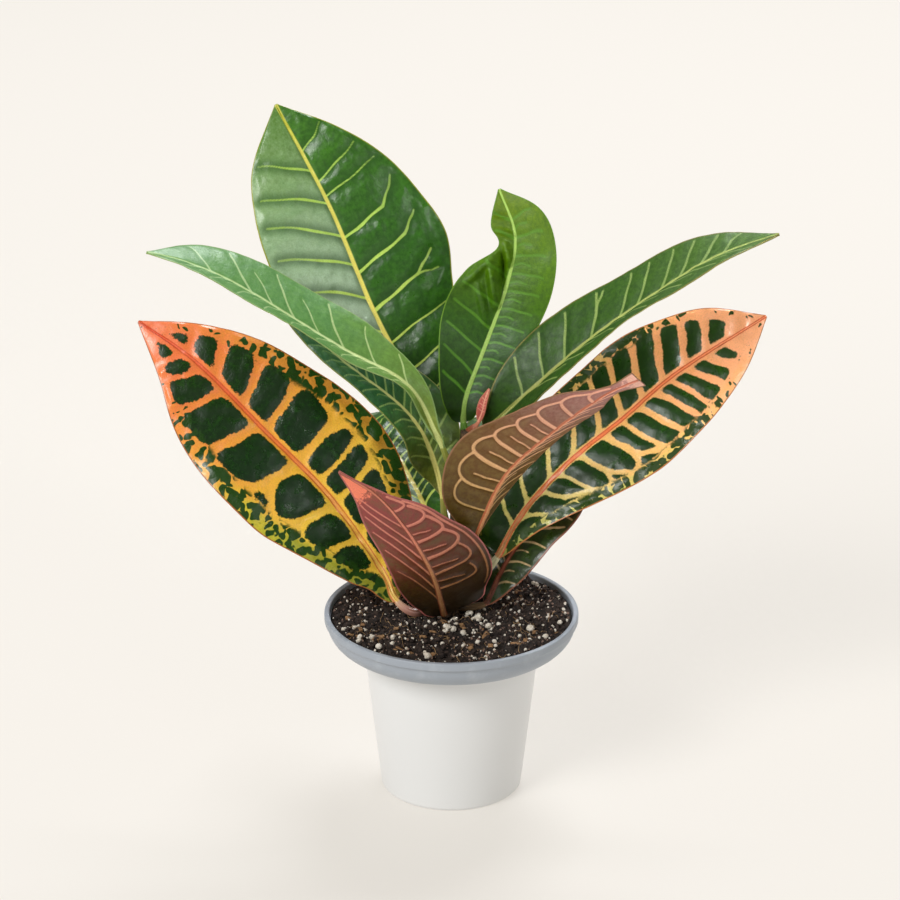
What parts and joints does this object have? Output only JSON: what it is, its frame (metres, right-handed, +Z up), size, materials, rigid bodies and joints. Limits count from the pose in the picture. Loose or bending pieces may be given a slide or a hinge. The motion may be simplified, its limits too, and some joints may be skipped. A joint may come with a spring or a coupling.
{
  "type": "potted croton",
  "caption": "Potted croton: broad waxy leaves, some mottled orange on dark green, on a short woody stem in a grey grow pot set in a white cachepot.",
  "frame": {"origin": "centre of the cachepot's underside, on the surface that it stands on", "axes": "+Z up along the pots' common axis, -Y to the front that the picture shows, +X to its right"},
  "size_m": [0.3206, 0.1774, 0.3423],
  "materials": {
    "cachepot": "satin white glaze",
    "grow_pot": "moulded polypropylene",
    "soil": "crumbly peat with perlite",
    "stem": "smooth young bark",
    "leaf_green": "waxy leaf with yellow veins",
    "leaf_bright": "waxy young leaf",
    "leaf_mottled": "waxy leaf, orange net on dark green",
    "leaf_dusky": "maroon underside with pink veins",
    "leaf_young": "pink new shoot"
  },
  "bodies": {
    "root": {"cachepot": "cachepot", "grow_pot": "grow_pot", "soil": "soil", "stem": "stem", "leaf_back_tall": "leaf_green", "leaf_left_arching": "leaf_green", "leaf_left_under": "leaf_green", "leaf_left_mottled": "leaf_mottled", "leaf_centre_upright": "leaf_bright", "leaf_right_arching": "leaf_green", "leaf_right_mottled": "leaf_mottled", "leaf_front_right": "leaf_dusky", "leaf_front_left": "leaf_dusky", "leaf_right_low": "leaf_dusky", "leaf_rear_left": "leaf_green", "leaf_rear_right": "leaf_green", "leaf_young_shoot": "leaf_young"}
  },
  "joints": []
}
